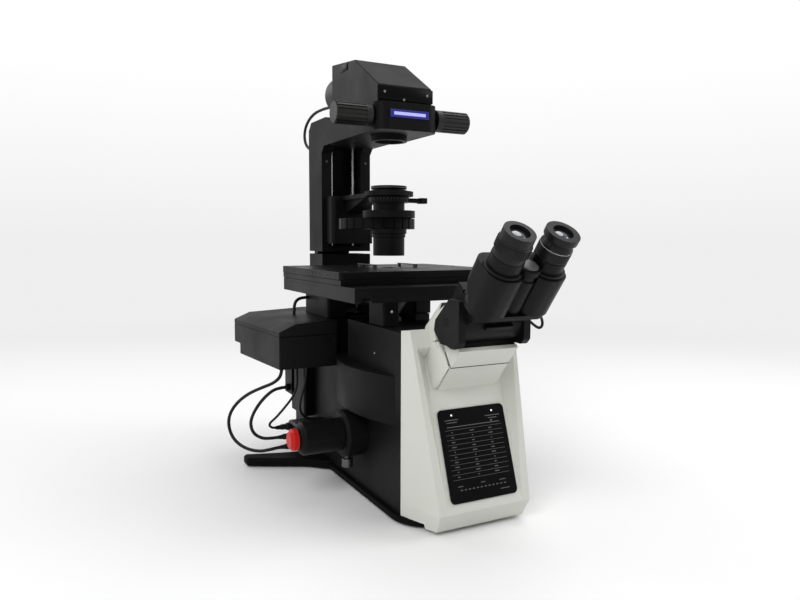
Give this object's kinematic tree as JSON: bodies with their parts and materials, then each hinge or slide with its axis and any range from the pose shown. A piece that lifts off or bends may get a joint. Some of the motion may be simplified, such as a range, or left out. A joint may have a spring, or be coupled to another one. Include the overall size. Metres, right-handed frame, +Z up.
{
  "type": "inverted microscope",
  "caption": "Inverted microscope: black body, off-white front cover with control panel, tilting binocular tube, XY stage, nosepiece below it and a tilting lamp pillar with condenser.",
  "frame": {"origin": "On the table, straight below the optical axis.", "axes": "+Z up, +X to the right of the person at the eyepieces, +Y to the rear."},
  "size_m": [0.4674, 0.7262, 0.704],
  "materials": {
    "black_paint": null,
    "white_cover": null,
    "panel_black": null,
    "black_plastic": null,
    "anodised": null,
    "steel": null,
    "glass": null,
    "rubber": null,
    "red_plastic": null,
    "lit_badge": null,
    "cord_rubber": null
  },
  "bodies": {
    "frame": {"base_plate": "black_paint", "outriggers": "black_paint", "rubber_feet": "rubber", "main_casting": "black_paint", "side_cover_left": "black_paint", "front_cover": "white_cover", "neck_cap": "white_cover", "control_panel": "panel_black", "tube_yoke": "black_paint", "pivot_pins": "steel", "stage_risers": "black_paint", "stage_base": "black_paint", "filter_shaft": "steel", "optics_mounts": "anodised", "path_optics": "glass", "focus_unit_tray": "black_paint", "focus_unit_lid": "black_paint", "connector_block": "black_plastic", "cable_plugs": "black_plastic", "cable_guides": "black_paint", "port_flange": "black_paint", "port_adapter": "black_paint", "pillar_base": "black_paint", "arch_cord": "cord_rubber", "loop_cord": "cord_rubber", "bracket_cord": "cord_rubber", "tight_cord": "cord_rubber", "drop_cord": "cord_rubber", "stage_cord": "cord_rubber"},
    "pillar": {"pillar": "black_paint", "guide_rods": "steel", "lamp_house": "black_paint", "lamp_socket": "black_plastic", "field_stop": "black_paint", "badge": "lit_badge", "lamp_cord": "cord_rubber"},
    "knob_left": {"head_knob_left": "black_plastic"},
    "knob_right": {"head_knob_right": "black_plastic"},
    "carriage": {"condenser_carriage": "black_paint", "condenser_holder": "black_paint", "condenser_housing": "black_plastic", "condenser_lens": "black_plastic"},
    "height_knob": {"condenser_knob": "black_plastic"},
    "condenser_turret": {"condenser_turret": "black_plastic"},
    "aperture": {"aperture_lever": "black_plastic"},
    "stage_y": {"stage_y_carriage": "anodised"},
    "stage_x": {"stage_top": "anodised", "stage_insert": "anodised", "specimen_clips": "steel"},
    "focus": {"focus_block": "anodised"},
    "nosepiece": {"nosepiece": "anodised", "objectives": "steel"},
    "filters": {"filter_turret": "anodised"},
    "tilt": {"tilt_block": "black_paint"},
    "tube_left": {"eye_tube_left": "black_paint"},
    "tube_right": {"eye_tube_right": "black_paint"},
    "ocular_left": {"eyepiece_left": "black_plastic"},
    "ocular_right": {"eyepiece_right": "black_plastic"},
    "cap": {"dust_cap": "red_plastic"},
    "clamp": {"port_clamp": "steel"}
  },
  "joints": [
    {"name": "pillar_tilt", "type": "hinge", "parent": "frame", "child": "pillar", "pos_m": [0, 0.259, 0.3685], "axis": [-1, 0, 0], "range_deg": [0, 30]},
    {"name": "knob_left_turn", "type": "hinge", "parent": "pillar", "child": "knob_left", "pos_m": [0, -0.048, 0.588], "axis": [1, 0, 0], "range_deg": [-60, 60]},
    {"name": "knob_right_turn", "type": "hinge", "parent": "pillar", "child": "knob_right", "pos_m": [0, -0.048, 0.588], "axis": [1, 0, 0], "range_deg": [-60, 60]},
    {"name": "condenser_height", "type": "slide", "parent": "pillar", "child": "carriage", "axis": [0, 0, 1], "range_m": [-0.01, 0.06]},
    {"name": "height_knob_turn", "type": "hinge", "parent": "carriage", "child": "height_knob", "pos_m": [0, 0.166, 0.42], "axis": [1, 0, 0], "range_deg": [-58, 345]},
    {"name": "turret_turn", "type": "hinge", "parent": "carriage", "child": "condenser_turret", "pos_m": [0, 0.047, 0.42], "axis": [0, 0, 1], "continuous": true},
    {"name": "aperture_turn", "type": "hinge", "parent": "carriage", "child": "aperture", "pos_m": [0, 0, 0.46], "axis": [0, 0, 1], "range_deg": [-40, 40]},
    {"name": "stage_y_travel", "type": "slide", "parent": "frame", "child": "stage_y", "axis": [0, 1, 0], "range_m": [-0.037, 0.037]},
    {"name": "stage_x_travel", "type": "slide", "parent": "stage_y", "child": "stage_x", "axis": [1, 0, 0], "range_m": [-0.04, 0.04]},
    {"name": "focus_travel", "type": "slide", "parent": "frame", "child": "focus", "axis": [0, 0, 1], "range_m": [-0.007, 0.002]},
    {"name": "nosepiece_turn", "type": "hinge", "parent": "focus", "child": "nosepiece", "pos_m": [0, 0.02853, 0.29073], "axis": [0, 0.309, 0.9511], "continuous": true},
    {"name": "filter_turn", "type": "hinge", "parent": "frame", "child": "filters", "pos_m": [-0.03, -0.062, 0.167], "axis": [0, 0, 1], "continuous": true},
    {"name": "tube_tilt", "type": "hinge", "parent": "frame", "child": "tilt", "pos_m": [0, -0.282, 0.287], "axis": [1, 0, 0], "range_deg": [-32, 17.8]},
    {"name": "tube_left_swing", "type": "hinge", "parent": "tilt", "child": "tube_left", "pos_m": [0, -0.30828, 0.26705], "axis": [0, -0.6046, 0.7965], "range_deg": [-21.5, 12]},
    {"name": "tube_right_swing", "type": "hinge", "parent": "tilt", "child": "tube_right", "pos_m": [0, -0.30828, 0.26705], "axis": [0, -0.6046, 0.7965], "range_deg": [-12, 21.5]},
    {"name": "dioptre_left", "type": "hinge", "parent": "tube_left", "child": "ocular_left", "pos_m": [-0.032, -0.30271, 0.27128], "axis": [0, -0.6046, 0.7965], "range_deg": [-90, 90]},
    {"name": "dioptre_right", "type": "hinge", "parent": "tube_right", "child": "ocular_right", "pos_m": [0.032, -0.30271, 0.27128], "axis": [0, -0.6046, 0.7965], "range_deg": [-90, 90]},
    {"name": "cap_pull", "type": "slide", "parent": "frame", "child": "cap", "axis": [-1, 0, 0], "range_m": [0, 0.03]},
    {"name": "clamp_turn", "type": "hinge", "parent": "frame", "child": "clamp", "pos_m": [-0.114, -0.086, 0.06], "axis": [0, 0, 1], "range_deg": [-90, 90]}
  ],
  "couplings": [
    {"joint": "height_knob_turn", "follows": "condenser_height", "rad_per_m": 100},
    {"joint": "tube_right_swing", "follows": "tube_left_swing", "ratio": -1}
  ]
}
